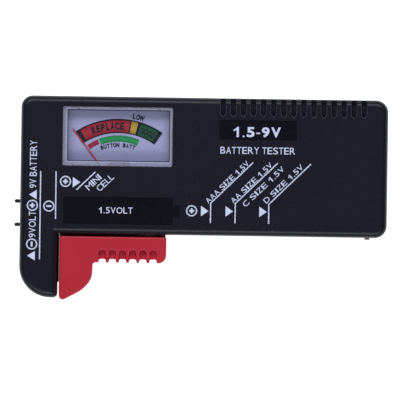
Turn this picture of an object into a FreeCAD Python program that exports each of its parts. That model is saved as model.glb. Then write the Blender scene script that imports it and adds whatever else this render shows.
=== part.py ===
import FreeCAD, Part
import math
import os

from FreeCAD import Vector

# Battery tester for single cells and nine volt blocks, in millimetres.
#
# The tester lies on its back. It is drawn with X along the case from a line just inside its
# left end, Y up the front face from the lower edge of the long bar, and Z from the rear face
# out through the dial. save() then moves every piece so that the origin is the middle of the whole outline,
# on the rear face.

# Case: a long bar with a fixed jaw that reaches down at its left end.
CASE_X = (-0.3, 110.2)
BAR_W = 41.45
ARM_X = 11.1
ARM_DROP = 19.3
THICK = 24.0
SPLIT_Z = THICK / 2
WALL = 2.0
EDGE_R = 1.9
SEAM = 0.2
CORNERS = (3.4, 3.7, 3.6, 1.0, 9.4)

# Sliding jaw and its slot.
JAW_GAP = 0.65
SLIDER_L = 32.15
SLIDER_Z = (1.6, 22.4)
SLIDER_TOP = -0.7
SLIDER_FOOT = -19.9
GRIP_Y = -8.6
JAW_END_X = 21.7
HOOK_BEND = (JAW_END_X, -13.5, 6.3)
HOOK_SOLE = (18.9, -16.9, 10.0)
TOE_R = 1.2
TOE_DROP = 0.79
NECK_X = (12.05, 36.0)
NECK_Z = (10.0, 14.0)
FLANGE_Y = (2.15, 3.35)
SLOT_X = (ARM_X, 99.2)
SLOT_Z = (9.8, 14.2)
CONTACT_T = 0.4
CONTACT_FOOT = -14.6
CONTACT_Z = (9.0, 15.0)
CONTACT_SEAT = 0.25
RUB_GAP = 0.05
WIPER_RIVET_X = (19.5, 22.5)
GRIP_COUNT = 6
GRIP_X = 24.65
GRIP_PITCH = 3.06
GRIP_ROOT_Y = -7.5

# Contacts of the nine volt block, and the grooves across the top edge.
PIN_R = 0.55
PIN_REACH = 1.8
PIN_Y = (9.6, 2.55)
PIN_END_X = 6.0
VENT_COUNT = 15
VENT_X = 60.5
VENT_PITCH = 3.03
VENT_W = 1.6
VENT_DEPTH = 1.5
VENT_FOOT = 35.9

# Shallow panels in the face, behind the title and in the outline of a round cell.
PANEL_DEPTH = 0.3
TITLE_X = (59.4, 82.8)
TITLE_Y = (29.0, 34.9)
CELL_X = (12.7, 45.8)
CELL_Y = (3.0, 11.2)
CELL_TIP_X = (44.8, 47.8)
CELL_TIP_Y = (5.2, 9.0)

# Moving coil meter behind the window.
WINDOW_X = (12.15, 45.5)
WINDOW_Y = (20.4, 38.45)
COVER_INNER_X = (13.9, 44.3)
COVER_INNER_Y = (22.2, 37.2)
COVER_DRAFT = 0.12
COVER_ROOF = 1.2
METER_X = (11.5, 46.3)
METER_Y = (6.6, 38.8)
METER_Z = (4.5, 20.5)
METER_WALL = 1.2
PIVOT = (28.9, 13.9)
NEEDLE_REST = 37.7
NEEDLE_L = 22.2
DIAL_X = (13.0, 44.8)
DIAL_Y = (19.4, 37.4)
DIAL_Z = (18.9, 19.3)
DIAL_ARCH_X = (25.2, 33.5)
DIAL_ARCH_TOP = 21.7
NEEDLE_Z = (18.7, 18.9)
NEEDLE_HALF = 0.22
NEEDLE_TIP_HALF = 0.19
NEEDLE_LIFT = 0.9
NEEDLE_STEP_R = 5.0

# Screws, wiring and circuit board.
CASE_SCREWS = ((5.6, 34.0), (5.6, -11.5), (103.5, 21.0))
WIRE_R = 0.6
WIRE_Z = 3.2
RAIL_Y = (4.9, 5.3)
RAIL_Z = (9.5, 14.5)
RIVET_X = 104.45
BOARD_X = (52.0, 76.0)
BOARD_Y = (12.0, 30.0)
BOARD_Z = (6.0, 7.2)
BOARD_SCREWS = ((73.5, 27.5), (66.0, 14.2))

PIN_TIP_X = CASE_X[0] - PIN_REACH
ORIGIN = Vector((PIN_TIP_X + CASE_X[1]) / 2, (BAR_W + SLIDER_FOOT) / 2, 0)
UP = Vector(0, 0, 1)
ALONG_X = Vector(1, 0, 0)
ALONG_Y = Vector(0, 1, 0)
TINY = 1e-6
OVER = 1.0


def box(x, y, z):
    """Block between three pairs of coordinates."""
    return Part.makeBox(x[1] - x[0], y[1] - y[0], z[1] - z[0], Vector(x[0], y[0], z[0]))


def rod(x, y, z, radius, length, axis=UP):
    """Round bar that starts at a point and runs along an axis."""
    return Part.makeCylinder(radius, length, Vector(x, y, z), axis)


def rounded(points, radii, closed):
    """Wire through points, with a tangent arc of its own radius at each corner."""
    count = len(points)
    bends = []
    for i, (point, radius) in enumerate(zip(points, radii)):
        if not closed and i in (0, count - 1):
            bends.append((point, point, point))
            continue
        back = (points[i - 1] - point).normalize()
        ahead = (points[(i + 1) % count] - point).normalize()
        half = back.getAngle(ahead) / 2
        run = radius / math.tan(half)
        middle = point + (back + ahead).normalize() * (radius / math.sin(half) - radius)
        bends.append((point + back * run, middle, point + ahead * run))
    edges = []
    for i, (start, middle, end) in enumerate(bends):
        if (end - start).Length > TINY:
            edges.append(Part.Arc(start, middle, end).toShape())
        if i == count - 1 and not closed:
            break
        following = bends[(i + 1) % count][0]
        if (following - end).Length > TINY:
            edges.append(Part.makeLine(end, following))
    return Part.Wire(edges)


def slab(corners, z):
    """Flat plate between two heights; corners are (x, y, radius)."""
    points = [Vector(x, y, z[0]) for x, y, _ in corners]
    wire = rounded(points, [radius for _, _, radius in corners], closed=True)
    return Part.Face(wire).extrude(Vector(0, 0, z[1] - z[0]))


def plate(x, y, z, radius):
    """Rectangular plate with rounded corners."""
    return slab([(x[0], y[0], radius), (x[1], y[0], radius), (x[1], y[1], radius), (x[0], y[1], radius)], z)


def tube(points, radius):
    """Insulated wire or lead: straight runs joined by arcs as large as the runs allow."""
    spots = [Vector(*point) for point in points]
    radii = [0.0]
    for before, spot, after in zip(spots, spots[1:], spots[2:]):
        turn = math.pi - (before - spot).getAngle(after - spot)
        shorter = min((before - spot).Length, (after - spot).Length)
        radii.append(0.45 * shorter / math.tan(turn / 2))
    radii.append(0.0)
    path = rounded(spots, radii, closed=False)
    section = Part.Wire(Part.makeCircle(radius, spots[0], spots[1] - spots[0]))
    return path.makePipeShell([section], True, False)


def flat_edges(shape, z):
    """Edges of a shape that lie wholly at one height."""
    return [edge for edge in shape.Edges if all(abs(vertex.Z - z) < TINY for vertex in edge.Vertexes)]


def joined(shapes):
    return shapes[0].multiFuse(shapes[1:]).removeSplitter()


def cut(shape, tools):
    return shape.cut(tools)


def save(name, shape):
    """Check a piece, move it into the row frame and write it."""
    shape = shape.copy()
    shape.translate(-ORIGIN)
    if not shape.isValid() or any(solid.Volume <= 0 for solid in shape.Solids):
        raise SystemExit(name + " is not a sound solid")
    shape.exportStep("parts/" + name + ".step")


# ---------------------------------------------------------------- case


def case_outline(z, inset=0.0):
    """The L-shaped plan of the case, drawn in by the wall for its cavity."""
    top_left, top_right, low_right, tip, heel = (max(r - inset, 0.0) for r in CORNERS)
    return slab([
        (CASE_X[0] + inset, BAR_W - inset, top_left),
        (CASE_X[1] - inset, BAR_W - inset, top_right),
        (CASE_X[1] - inset, inset, low_right),
        (ARM_X - inset, inset, 0.0),
        (ARM_X - inset, inset - ARM_DROP, tip),
        (CASE_X[0] + inset, inset - ARM_DROP, heel),
    ], z)


def half_case(z, outer_z):
    """One hollow half, rounded round its outer face and bevelled round the seam."""
    shell = case_outline(z)
    shell = shell.makeFillet(EDGE_R, flat_edges(shell, outer_z))
    shell = shell.makeChamfer(SEAM, flat_edges(shell, SPLIT_Z))
    if outer_z > SPLIT_Z:
        return cut(shell, [case_outline((SPLIT_Z - OVER, THICK - WALL), WALL)])
    return cut(shell, [case_outline((WALL, SPLIT_Z + OVER), WALL)])


def wall_openings():
    """What both halves leave open on the seam: the slot, contact holes and rivet hole."""
    slot = box(SLOT_X, (-OVER, WALL + OVER), SLOT_Z)
    pins = [rod(CASE_X[0] - OVER, y, SPLIT_Z, PIN_R, WALL + 2 * OVER, ALONG_X) for y in PIN_Y]
    seat = box((ARM_X - CONTACT_SEAT, ARM_X + OVER), (CONTACT_FOOT, -RUB_GAP), CONTACT_Z)
    leg = box((ARM_X - WALL - OVER, ARM_X), (-5.4, -4.95), (10.95, 13.05))
    rivet = rod(RIVET_X, -OVER, SPLIT_Z, 0.6, WALL + 2 * OVER, ALONG_Y)
    return [slot, *pins, seat, leg, rivet]


def rail_ribs(z, shelf_z):
    """Ribs that carry the contact rail from the floor of one half."""
    ribs = []
    for x in (14.0, 56.0, 96.0):
        ribs.append(box((x, x + 2), (RAIL_Y[1], 6.5), z))
        ribs.append(box((x, x + 2), (4.4, 6.5), shelf_z))
    return ribs


def vent_outline(x, half, z):
    """Outline of a groove on the face, with a pointed lower end."""
    shoulder = VENT_FOOT + half
    corners = [(x, VENT_FOOT), (x + half, shoulder), (x + half, BAR_W + OVER),
               (x - half, BAR_W + OVER), (x - half, shoulder)]
    return rounded([Vector(cx, cy, z) for cx, cy in corners], (0.3, 0.2, 0.0, 0.0, 0.2), closed=True)


def vent_groove(x):
    """Blind groove with drafted sides that runs up the front and over the top edge."""
    half = VENT_W / 2
    floor = vent_outline(x, half - 0.15, THICK - VENT_DEPTH)
    mouth = vent_outline(x, half + 0.05, THICK + 0.4)
    front = Part.makeLoft([floor, mouth], True, True)
    top = box((x - half + 0.1, x + half - 0.1), (BAR_W - VENT_DEPTH, BAR_W + OVER), (15.0, THICK + OVER))
    return joined([front, top])


def battery_recess():
    """Shallow panel in the outline of a round cell."""
    z = (THICK - PANEL_DEPTH, THICK + OVER)
    return joined([plate(CELL_X, CELL_Y, z, 0.6), plate(CELL_TIP_X, CELL_TIP_Y, z, 0.4)])


def front_shell():
    shell = half_case((SPLIT_Z, THICK), THICK)
    bosses = [rod(x, y, SPLIT_Z, 2.6, THICK - WALL - SPLIT_Z) for x, y in CASE_SCREWS]
    ribs = rail_ribs((SPLIT_Z, THICK - WALL), (RAIL_Z[1], THICK - WALL))
    shell = joined([shell, *bosses, *ribs])
    window = plate(WINDOW_X, WINDOW_Y, (THICK - WALL - OVER, THICK + OVER), 0.5)
    title = plate(TITLE_X, TITLE_Y, (THICK - PANEL_DEPTH, THICK + OVER), 0.3)
    vents = [vent_groove(VENT_X + VENT_PITCH * i) for i in range(VENT_COUNT)]
    pilots = [rod(x, y, SPLIT_Z - OVER, 1.2, 9.0) for x, y in CASE_SCREWS]
    return cut(shell, [window, title, battery_recess(), *vents, *pilots, *wall_openings()])


def rear_shell():
    shell = half_case((0, SPLIT_Z), 0)
    bosses = [rod(x, y, 1.0, 3.2, SPLIT_Z - 1.0) for x, y in CASE_SCREWS]
    posts = [rod(x, y, 1.0, 2.2, BOARD_Z[0] - 1.0) for x, y in BOARD_SCREWS]
    pads = [rod(x, y, 1.0, 1.8, METER_Z[0] - 1.0) for x in (15.0, 43.0) for y in (20.0, 36.0)]
    ribs = rail_ribs((1.0, SPLIT_Z), (1.0, RAIL_Z[0]))
    shell = joined([shell, *bosses, *posts, *pads, *ribs])
    heads = [rod(x, y, -OVER, 2.5, 5.0 + OVER) for x, y in CASE_SCREWS]
    shanks = [rod(x, y, 4.0, 1.35, SPLIT_Z) for x, y in CASE_SCREWS]
    pilots = [rod(x, y, WALL, 0.7, 6.0) for x, y in BOARD_SCREWS]
    return cut(shell, [*heads, *shanks, *pilots, *wall_openings()])


def cross_screw(x, y, z, head_r, head_h, shank_r, shank_l, up):
    """Pan head screw with a cross recess; z is the seat of the head, up is the way it drives."""
    head = rod(x, y, z - head_h if up > 0 else z, head_r, head_h)
    shank = rod(x, y, z if up > 0 else z - shank_l, shank_r, shank_l)
    face = z - up * head_h
    depth = (face - OVER, face + head_h / 2) if up > 0 else (face - head_h / 2, face + OVER)
    arm = head_r * 0.65
    slot_w = head_r * 0.13
    recess = [box((x - arm, x + arm), (y - slot_w, y + slot_w), depth),
              box((x - slot_w, x + slot_w), (y - arm, y + arm), depth)]
    return cut(joined([head, shank]), recess)


def case_screws():
    return Part.Compound([cross_screw(x, y, 5.0, 2.2, 1.6, 1.2, 14.0, up=1) for x, y in CASE_SCREWS])


# ---------------------------------------------------------------- sliding jaw


def slider():
    """Red jaw: a hollow moulding with a ribbed grip, a hooked end and a flanged neck."""
    left = ARM_X + JAW_GAP
    right = left + SLIDER_L
    body = slab([
        (left, SLIDER_TOP, 0.6),
        (right, SLIDER_TOP, 0.6),
        (right, GRIP_Y, 2.3),
        (JAW_END_X, GRIP_Y, 1.0),
        HOOK_BEND,
        HOOK_SOLE,
        (left, SLIDER_FOOT - TOE_DROP, TOE_R),
    ], SLIDER_Z)
    body = body.makeFillet(0.5, flat_edges(body, SLIDER_Z[1]) + flat_edges(body, SLIDER_Z[0]))
    neck = box(NECK_X, (SLIDER_TOP - 0.5, FLANGE_Y[0]), NECK_Z)
    flange = box(NECK_X, FLANGE_Y, (8.0, 16.0))
    lips = [box((NECK_X[1] - OVER, right - 0.3), (SLIDER_TOP - 0.7, -RUB_GAP), z)
            for z in ((5.0, 9.4), (14.6, 19.0))]
    body = joined([body, neck, flange, *lips])
    seat = box((left - OVER, NECK_X[0]), (CONTACT_FOOT, SLIDER_TOP + 0.1), CONTACT_Z)
    rivets = [rod(x, 0.9, SPLIT_Z, 0.5, 4.0, ALONG_Y) for x in WIPER_RIVET_X]
    return cut(body, [seat, *rivets, *grip_cuts(), *slider_cores()])


def grip_cuts():
    """Finger grooves along the grip, each with an arched pocket in the front face."""
    cuts = []
    mouth_y = GRIP_Y - 0.6
    for i in range(GRIP_COUNT):
        x = GRIP_X + GRIP_PITCH * i
        cuts.append(slab([
            (x - 1.35, mouth_y, 0.0),
            (x + 1.35, mouth_y, 0.0),
            (x + 0.95, GRIP_ROOT_Y, 0.5),
            (x - 0.95, GRIP_ROOT_Y, 0.5),
        ], (0.0, THICK)))
        floor = pocket_outline(x, 0.95, mouth_y, SLIDER_Z[1] - 2.0)
        mouth = pocket_outline(x, 1.25, mouth_y, SLIDER_Z[1] + 0.2)
        cuts.append(Part.makeLoft([floor, mouth], True, True))
    return cuts


def pocket_outline(x, half, mouth_y, z):
    """Outline of an arched pocket, which is drafted from its floor to its mouth."""
    top = half - 5.75
    corners = [(x - half, mouth_y), (x + half, mouth_y), (x + half, top), (x - half, top)]
    arch = half * 0.97
    return rounded([Vector(cx, cy, z) for cx, cy in corners], (0.0, 0.0, arch, arch), closed=True)


def slider_cores():
    """Hollows that open at the rear, with webs left between them."""
    z = (0.0, 18.6)
    hook = slab([(13.8, -17.0, 0.5), (20.0, -17.0, 5.2), (20.0, -11.1, 0.5), (13.8, -11.1, 0.5)], z)
    cores = [hook, plate((13.8, 20.2), (-9.7, -2.5), z, 0.5)]
    cores += [plate((x, x + 8.6), (-5.9, -2.5), z, 0.5) for x in (23.6, 33.6)]
    return cores


def positive_contact():
    """Plated strip on the jaw face, led up beside the neck and back over the flange."""
    x = (NECK_X[0] - CONTACT_T, NECK_X[0])
    pad = box(x, (CONTACT_FOOT, SLIDER_TOP - 0.1), CONTACT_Z)
    riser = box(x, (SLIDER_TOP - 0.1, FLANGE_Y[1]), (10.5, 13.5))
    foot = box((x[0], 24.0), (FLANGE_Y[1], FLANGE_Y[1] + CONTACT_T), (10.5, 13.5))
    holes = [rod(hole_x, 3.0, SPLIT_Z, 0.5, 2.0, ALONG_Y) for hole_x in WIPER_RIVET_X]
    return cut(joined([pad, riser, foot]), holes)


def wiper_spring():
    """Leaf that rubs along the rail while the jaw slides."""
    low = FLANGE_Y[1] + CONTACT_T
    profile = [(18.0, low), (24.0, low), (29.5, 4.65), (32.0, 4.0), (32.0, 4.2), (29.5, 4.85),
               (23.95, low + 0.2), (18.0, low + 0.2), (18.0, low)]
    face = Part.Face(Part.makePolygon([Vector(x, y, 10.5) for x, y in profile]))
    leaf = face.extrude(Vector(0, 0, 3.0))
    return cut(leaf, [rod(x, 3.0, SPLIT_Z, 0.5, 2.0, ALONG_Y) for x in WIPER_RIVET_X])


def wiper_rivets():
    rivets = []
    for x in WIPER_RIVET_X:
        head = rod(x, 3.95, SPLIT_Z, 1.0, 0.35, ALONG_Y)
        rivets.append(joined([head, rod(x, 0.9, SPLIT_Z, 0.5, 3.1, ALONG_Y)]))
    return Part.Compound(rivets)


# ---------------------------------------------------------------- fixed contacts


def negative_contact():
    """Plated strip let into the fixed jaw, with a leg through the wall for its wire."""
    pad = box((ARM_X - CONTACT_SEAT, ARM_X + 0.45), (CONTACT_FOOT, -RUB_GAP), CONTACT_Z)
    leg = box((7.8, ARM_X - CONTACT_SEAT), (-5.35, -5.0), (11.0, 13.0))
    return joined([pad, leg])


def contact_rail():
    """Brass strip the wiper rubs on, stepped down to a foot on the wall."""
    strip = box((13.0, 101.5), RAIL_Y, RAIL_Z)
    riser = box((101.0, 101.5), (WALL, RAIL_Y[1]), RAIL_Z)
    foot = box((101.0, 106.0), (WALL, WALL + 0.4), RAIL_Z)
    hole = rod(RIVET_X, WALL - OVER, SPLIT_Z, 0.6, 2 * OVER, ALONG_Y)
    return cut(joined([strip, riser, foot]), [hole])


def rail_rivet():
    outer = rod(RIVET_X, -0.55, SPLIT_Z, 0.85, 0.55, ALONG_Y)
    shank = rod(RIVET_X, 0, SPLIT_Z, 0.6, WALL + 0.4, ALONG_Y)
    inner = rod(RIVET_X, WALL + 0.4, SPLIT_Z, 1.2, 0.5, ALONG_Y)
    return joined([outer, shank, inner])


def nine_volt_pin(y):
    """Round-ended brass pin, held inside the wall by its collar."""
    round_x = PIN_TIP_X + PIN_R
    tip = Part.makeSphere(PIN_R, Vector(round_x, y, SPLIT_Z))
    shank = rod(round_x, y, SPLIT_Z, PIN_R, PIN_END_X - round_x, ALONG_X)
    collar = rod(CASE_X[0] + WALL, y, SPLIT_Z, 1.5, 0.6, ALONG_X)
    return joined([tip, shank, collar])


# ---------------------------------------------------------------- meter


def polar(radius, degrees):
    """Point at an angle from +X about the pivot of the movement."""
    angle = math.radians(degrees)
    return PIVOT[0] + radius * math.cos(angle), PIVOT[1] + radius * math.sin(angle)


def at_rest(shape):
    """Turn a piece of the movement from mid scale to where the hairsprings hold it."""
    shape = shape.copy()
    shape.rotate(Vector(*PIVOT, 0), UP, NEEDLE_REST)
    return shape


YOKE_POSTS = [polar(5.4, degrees) for degrees in (45, 135, 225, 315)]
BRIDGE_POSTS = [polar(7.5, degrees) for degrees in (0, 180)]
DIAL_POSTS = [(x, y) for x in (14.2, 43.6) for y in (20.8, 36.2)]
TERMINALS = ((42.0, 30.0), (42.0, 24.0))
FLOOR_Z = METER_Z[0] + METER_WALL
BRIDGE_Z = (19.3, 20.0)
COIL_Z = (7.4, 16.4)


def meter_base():
    """Moulded tray that holds the whole movement on posts."""
    tray = plate(METER_X, METER_Y, METER_Z, 1.0)
    inner_x = (METER_X[0] + METER_WALL, METER_X[1] - METER_WALL)
    inner_y = (METER_Y[0] + METER_WALL, METER_Y[1] - METER_WALL)
    tray = cut(tray, [plate(inner_x, inner_y, (FLOOR_Z, METER_Z[1] + OVER), 0.5)])
    foot = METER_Z[0] + METER_WALL / 2
    posts = [rod(x, y, foot, 0.9, 8.6 - foot) for x, y in YOKE_POSTS]
    posts += [rod(x, y, foot, 1.3, BRIDGE_Z[0] - foot) for x, y in BRIDGE_POSTS]
    posts += [rod(x, y, foot, 0.9, DIAL_Z[0] - foot) for x, y in DIAL_POSTS]
    holes = [rod(x, y, BRIDGE_Z[0] - 4.0, 0.6, 5.0) for x, y in BRIDGE_POSTS]
    holes += [rod(x, y, METER_Z[0] - OVER, 0.9, 3.0) for x, y in TERMINALS]
    return cut(joined([tray, *posts]), holes)


def meter_window():
    """Clear cover of the meter: a flange over the whole tray and a box that fills the window."""
    top = THICK - 0.1
    fit = 0.1
    outer_x = (WINDOW_X[0] + fit, WINDOW_X[1] - fit)
    outer_y = (WINDOW_Y[0] + fit, WINDOW_Y[1] - fit)
    raised = plate(outer_x, outer_y, (METER_Z[1], top), 0.5)
    raised = raised.makeFillet(0.4, flat_edges(raised, top))
    flange = plate(METER_X, METER_Y, (METER_Z[1], THICK - WALL - 0.2), 1.0)
    roof_z = top - COVER_ROOF
    mouth = cover_hollow(METER_Z[1], (roof_z - METER_Z[1]) * COVER_DRAFT)
    hollow = Part.makeLoft([mouth, cover_hollow(roof_z, 0.0)], True, True)
    dimples = [rod(x, 37.65, top - 0.5, 0.3, OVER) for x in (17.0, 41.4)]
    return cut(joined([flange, raised]), [hollow, *dimples])


def cover_hollow(z, grow):
    """Section of the cover's hollow, which is drafted from its mouth to its roof."""
    x = (COVER_INNER_X[0] - grow, COVER_INNER_X[1] + grow)
    y = (COVER_INNER_Y[0] - grow, COVER_INNER_Y[1] + grow)
    corners = [Vector(x[0], y[0], z), Vector(x[1], y[0], z), Vector(x[1], y[1], z), Vector(x[0], y[1], z)]
    return rounded(corners, (0.4 + grow,) * 4, closed=True)


def dial_plate():
    """Printed plate with an arch at its foot for the pointer's boss."""
    dial = plate(DIAL_X, DIAL_Y, DIAL_Z, 0.5)
    left, right = DIAL_ARCH_X
    low = DIAL_Y[0] - OVER
    high = DIAL_ARCH_TOP
    arch = slab([(left, low, 0.0), (right, low, 0.0), (right, high, 2.0), (left, high, 2.0)],
                (DIAL_Z[0] - OVER, DIAL_Z[1] + OVER))
    return cut(dial, [arch])


def core_magnet():
    return rod(*PIVOT, 8.8, 3.0, 6.2)


def yoke_ring():
    """Soft iron ring round the coil, with two webs that reach in to the core."""
    ring = cut(rod(*PIVOT, 8.6, 5.9, 6.6), [rod(*PIVOT, 8.0, 4.9, 8.0)])
    web = box((PIVOT[0] - 1, PIVOT[0] + 1), (PIVOT[1] - 5.4, PIVOT[1] + 5.4), (9.2, 14.6))
    web = cut(web, [rod(*PIVOT, 8.0, 3.0, 8.0)])
    return joined([ring, web])


def meter_bridge():
    """Bar across the posts that carries the upper bearing."""
    x, y = PIVOT
    bar = plate((x - 9, x + 9), (y - 1.7, y + 1.7), BRIDGE_Z, 1.2)
    holes = [rod(px, py, BRIDGE_Z[0] - OVER, 0.6, 3.0) for px, py in BRIDGE_POSTS]
    return cut(bar, [*holes, rod(x, y, BRIDGE_Z[0] - OVER, 0.9, 3.0)])


def bridge_screws():
    return Part.Compound([cross_screw(x, y, BRIDGE_Z[1], 1.1, 0.4, 0.6, 4.0, up=-1) for x, y in BRIDGE_POSTS])


def upper_jewel_screw():
    x, y = PIVOT
    return cut(rod(x, y, BRIDGE_Z[0], 0.9, 1.0), [rod(x, y, BRIDGE_Z[0] - OVER, 0.25, OVER + 0.5)])


def lower_jewel_screw():
    x, y = PIVOT
    return cut(rod(x, y, FLOOR_Z, 1.2, 1.0), [rod(x, y, FLOOR_Z + 0.4, 0.25, OVER)])


def half_ring(centre_x, y, z, radius, strip, upper):
    """Half a turn of flat spring, above or below the X line through its centre."""
    ring = cut(rod(centre_x, y, z[0], radius + strip / 2, z[1] - z[0]),
               [rod(centre_x, y, z[0] - OVER, radius - strip / 2, z[1] - z[0] + 2 * OVER)])
    span = (y, y + radius + OVER) if upper else (y - radius - OVER, y)
    return ring.common(box((centre_x - 2 * radius, centre_x + 2 * radius), span, (z[0] - OVER, z[1] + OVER)))


def hairspring(z, inner_r, reach):
    """Flat spiral of joined half turns, with a straight tail that its anchor holds."""
    x, y = PIVOT
    pitch = 0.2
    strip = 0.12
    parts = []
    for turn in range(4):
        radius = inner_r + 2 * pitch * turn
        parts.append(half_ring(x, y, z, radius, strip, upper=True))
        parts.append(half_ring(x + pitch, y, z, radius + pitch, strip, upper=False))
    outer = inner_r + 8 * pitch
    parts.append(box((x + outer - strip / 2, x + reach), (y, y + strip), z))
    return joined(parts)


def upper_hairspring():
    return hairspring((17.2, 17.5), 0.55, 5.0)


def lower_hairspring():
    return hairspring((6.75, 7.05), 0.6, 3.4)


def spring_anchors():
    """Two pegs that the springs' outer ends are soldered to."""
    x, y = PIVOT
    upper = box((x + 5.0, x + 5.5), (y - 0.5, y + 0.6), (17.1, BRIDGE_Z[0]))
    lower = box((x + 3.4, x + 3.9), (y - 0.5, y + 0.6), (FLOOR_Z, 7.1))
    return Part.Compound([upper, lower])


def meter_terminals():
    studs = [rod(x, y, WIRE_Z + WIRE_R, 0.9, 3.0) for x, y in TERMINALS]
    nuts = [rod(x, y, FLOOR_Z, 1.6, 0.8) for x, y in TERMINALS]
    return Part.Compound([joined([stud, nut]) for stud, nut in zip(studs, nuts)])


def coil_loop(half_in, half_out, width, z_in, z_out):
    """Rectangular loop about the core, seen from the end of its width."""
    x, y = PIVOT
    solid = box((x - half_out, x + half_out), (y - width / 2, y + width / 2), z_out)
    hollow = box((x - half_in, x + half_in), (y - width, y + width), z_in)
    return at_rest(cut(solid, [hollow]))


def coil_former():
    return coil_loop(3.4, 3.7, 2.4, (COIL_Z[0] + 0.8, COIL_Z[1] - 0.8), (COIL_Z[0] + 0.5, COIL_Z[1] - 0.5))


def coil_winding():
    return coil_loop(3.7, 4.2, 2.0, (COIL_Z[0] + 0.5, COIL_Z[1] - 0.5), COIL_Z)


def upper_pivot():
    x, y = PIVOT
    top = COIL_Z[1]
    return joined([rod(x, y, top, 0.7, 0.3), rod(x, y, top, 0.35, 2.6), rod(x, y, top + 2.6, 0.2, 0.6)])


def lower_pivot():
    x, y = PIVOT
    return joined([rod(x, y, 7.1, 0.7, COIL_Z[0] - 7.1), rod(x, y, 6.2, 0.2, 1.2)])


def pointer():
    """Needle cranked up over the dial, with a boss on the pivot and three arms for the weights."""
    x, y = PIVOT
    z = NEEDLE_Z
    lifted = (z[0] + NEEDLE_LIFT, z[1] + NEEDLE_LIFT)
    step_y = y + NEEDLE_STEP_R
    boss = rod(x, y, 18.3, 0.8, 0.7)
    sides = (x - NEEDLE_HALF, x + NEEDLE_HALF)
    root = box(sides, (y, step_y + 0.2), z)
    riser = box(sides, (step_y, step_y + 0.2), (z[0], lifted[1]))
    needle = box((x - NEEDLE_TIP_HALF, x + NEEDLE_TIP_HALF), (step_y, y + NEEDLE_L), lifted)
    tail = box(sides, (y - 4.2, y), z)
    arms = box((x - 3.6, x + 3.6), (y - NEEDLE_HALF, y + NEEDLE_HALF), z)
    solid = cut(joined([boss, root, riser, needle, tail, arms]), [rod(x, y, 18.0, 0.35, 2.0)])
    return at_rest(solid)


def balance_weights():
    """Three drops of wound wire that balance the needle."""
    x, y = PIVOT
    arm = [box((x - 5, x + 5), (y - NEEDLE_HALF, y + NEEDLE_HALF), NEEDLE_Z),
           box((x - NEEDLE_HALF, x + NEEDLE_HALF), (y - 5, y), NEEDLE_Z)]
    z = sum(NEEDLE_Z) / 2
    drops = [rod(x - 3.4, y, z, 0.4, 0.8, ALONG_X), rod(x + 2.6, y, z, 0.4, 0.8, ALONG_X),
             rod(x, y - 4.0, z, 0.4, 1.4, ALONG_Y)]
    return Part.Compound([at_rest(cut(drop, arm)) for drop in drops])


# ---------------------------------------------------------------- circuit


def resistor(x, y, body_r, body_l, lead_r):
    """Body and leads of a through-hole resistor; the leads end below the board."""
    z = BOARD_Z[1] + body_r + 0.3
    body = rod(x - body_l / 2, y, z, body_r, body_l, ALONG_X)
    parts = [body.makeFillet(body_r * 0.3, [edge for edge in body.Edges if edge.Closed])]
    for side in (-1, 1):
        end = x + side * body_l / 2
        bend = end + side * 1.6
        parts.append(tube([(end - side * 0.2, y, z), (bend, y, z), (bend, y, BOARD_Z[0] - 0.6)], lead_r))
    return joined(parts)


def lead_holes(x, y, body_l, lead_r):
    return [rod(x + side * (body_l / 2 + 1.6), y, BOARD_Z[0] - OVER, lead_r, 4.0) for side in (-1, 1)]


LOAD = (64.0, 23.5, 2.0, 12.0, 0.4)
DIVIDERS = [(x, y, 0.9, 5.0, 0.3) for x, y in ((59.5, 18.6), (59.5, 15.9), (69.5, 18.6))]
JOINTS = {
    "nine_volt_positive": (54.0, 14.5),
    "nine_volt_negative": (60.0, 13.3),
    "jaw_negative": (63.0, 13.3),
    "rail": (73.0, 14.5),
    "meter_positive": (54.0, 27.5),
    "meter_negative": (54.0, 20.5),
}


def circuit_board():
    board = plate(BOARD_X, BOARD_Y, BOARD_Z, 0.8)
    holes = [rod(x, y, BOARD_Z[0] - OVER, 0.8, 4.0) for x, y in BOARD_SCREWS]
    holes += [rod(x, y, BOARD_Z[0] - OVER, WIRE_R, 4.0) for x, y in JOINTS.values()]
    for x, y, _, body_l, lead_r in [LOAD, *DIVIDERS]:
        holes += lead_holes(x, y, body_l, lead_r)
    return cut(board, holes)


def board_screws():
    return Part.Compound([cross_screw(x, y, BOARD_Z[1], 1.4, 0.9, 0.7, 4.6, up=-1) for x, y in BOARD_SCREWS])


def load_resistor():
    return resistor(*LOAD)


def divider_resistors():
    return Part.Compound([resistor(*place) for place in DIVIDERS])


def solder_joints():
    """Cones over the wires on the board, and sleeves on the ends of the two pins."""
    cones = [Part.makeCone(1.0, 0.5, 0.7, Vector(x, y, BOARD_Z[1])) for x, y in JOINTS.values()]
    sleeves = []
    for y in PIN_Y:
        sleeve = rod(5.4, y, SPLIT_Z, 1.0, 1.2, ALONG_X)
        sleeves.append(cut(sleeve, [rod(5.0, y, SPLIT_Z, WIRE_R, 2.0, ALONG_X)]))
    return Part.Compound(cones + sleeves)


def wire(joint, start):
    """Hook-up wire that runs along the rear floor and comes up through the board."""
    x, y = JOINTS[joint]
    return tube([*start, (x, y, WIRE_Z), (x, y, BOARD_Z[1])], WIRE_R)


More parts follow.
